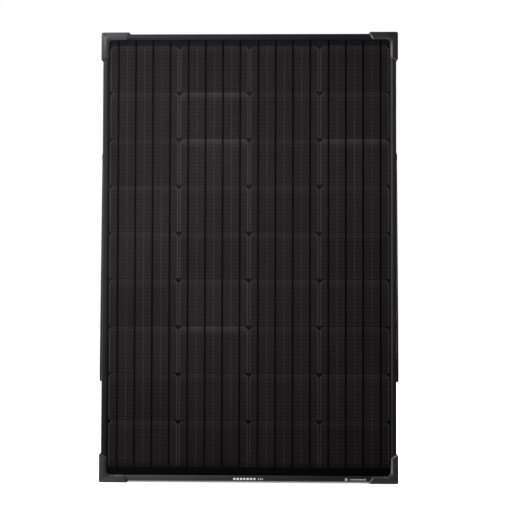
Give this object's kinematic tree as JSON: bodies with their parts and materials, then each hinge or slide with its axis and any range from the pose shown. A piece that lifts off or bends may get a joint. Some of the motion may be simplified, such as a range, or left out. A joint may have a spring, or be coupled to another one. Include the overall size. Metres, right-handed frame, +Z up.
{
  "type": "portable solar panel with kickstand",
  "caption": "Rigid framed black solar panel with moulded corner protectors, a rear junction box and a U-shaped kickstand folded along its side rails.",
  "frame": {"origin": "on the floor, under the middle of the outer box, with the panel standing on its two lower corner protectors", "axes": "+Z up along the panel's height, -Y out of the glass, +Y towards the kickstand and junction box, X along the panel's width"},
  "size_m": [0.677, 0.0444, 1.016],
  "materials": {
    "frame": "black anodised, satin",
    "corner_key": "mill finish",
    "protector": "black, fine moulded grain",
    "screw": "zinc plated",
    "glass": "low-iron, fine anti-glare texture",
    "encapsulant": "clear laminated film",
    "cell": "black monocrystalline silicon with fine printed fingers",
    "bus": "tinned copper strip",
    "backsheet": "black laminated sheet",
    "gasket": "black foam tape",
    "box_plastic": "black moulded, spark-eroded texture",
    "seal": "grey silicone",
    "terminal": "tinned",
    "diode": "moulded epoxy",
    "stand": "black anodised, satin",
    "rivet": "satin",
    "bolt": "black zinc",
    "washer": "natural nylon",
    "rubber": "black, matt"
  },
  "bodies": {
    "panel": {"backsheet": "backsheet", "bus_bar_bottom_left": "bus", "bus_bar_bottom_right": "bus", "bus_bar_top_left": "bus", "bus_bar_top_middle": "bus", "bus_bar_top_right": "bus", "bypass_diode_left": "diode", "bypass_diode_right": "diode", "cable_gland_left": "box_plastic", "cable_gland_right": "box_plastic", "cell_string_1": "cell", "cell_string_2": "cell", "cell_string_3": "cell", "cell_string_4": "cell", "corner_key_bottom_left": "corner_key", "corner_key_bottom_right": "corner_key", "corner_key_top_left": "corner_key", "corner_key_top_right": "corner_key", "corner_protector_bottom_left": "protector", "corner_protector_bottom_right": "protector", "corner_protector_top_left": "protector", "corner_protector_top_right": "protector", "edge_gasket": "gasket", "frame_rail_bottom": "frame", "frame_rail_left": "frame", "frame_rail_right": "frame", "frame_rail_top": "frame", "front_encapsulant": "encapsulant", "front_glass": "glass", "junction_box_adhesive": "seal", "junction_box_base": "box_plastic", "junction_box_hinge_pin": "screw", "junction_box_seal": "seal", "pivot_bolt_left": "bolt", "pivot_bolt_right": "bolt", "pivot_nut_left": "bolt", "pivot_nut_right": "bolt", "pivot_washer_left": "washer", "pivot_washer_right": "washer", "protector_screw_bottom_left": "screw", "protector_screw_bottom_right": "screw", "protector_screw_top_left": "screw", "protector_screw_top_right": "screw", "rear_encapsulant": "encapsulant", "terminal_left": "terminal", "terminal_middle": "terminal", "terminal_right": "terminal"},
    "kickstand": {"stand_crossbar": "stand", "stand_foot_left": "rubber", "stand_foot_right": "rubber", "stand_leg_left": "stand", "stand_leg_right": "stand", "stand_rivet_left_lower": "rivet", "stand_rivet_left_upper": "rivet", "stand_rivet_right_lower": "rivet", "stand_rivet_right_upper": "rivet"},
    "box_lid": {"junction_box_lid": "box_plastic"},
    "cap_nut_left": {"gland_nut_left": "box_plastic"},
    "cap_nut_right": {"gland_nut_right": "box_plastic"}
  },
  "joints": [
    {"name": "kickstand_fold", "type": "hinge", "parent": "panel", "child": "kickstand", "pos_m": [0, 0.00822, 0.7355], "axis": [1, 0, 0], "range_deg": [0, 105]},
    {"name": "box_lid_hinge", "type": "hinge", "parent": "panel", "child": "box_lid", "pos_m": [0, 0.00453, 0.978], "axis": [1, 0, 0], "range_deg": [0, 95]},
    {"name": "cap_nut_left_turn", "type": "hinge", "parent": "panel", "child": "cap_nut_left", "pos_m": [-0.03, -0.00298, 0.905], "axis": [0, 0, 1], "range_deg": [0, 720]},
    {"name": "cap_nut_right_turn", "type": "hinge", "parent": "panel", "child": "cap_nut_right", "pos_m": [0.03, -0.00298, 0.905], "axis": [0, 0, 1], "range_deg": [0, 720]}
  ]
}
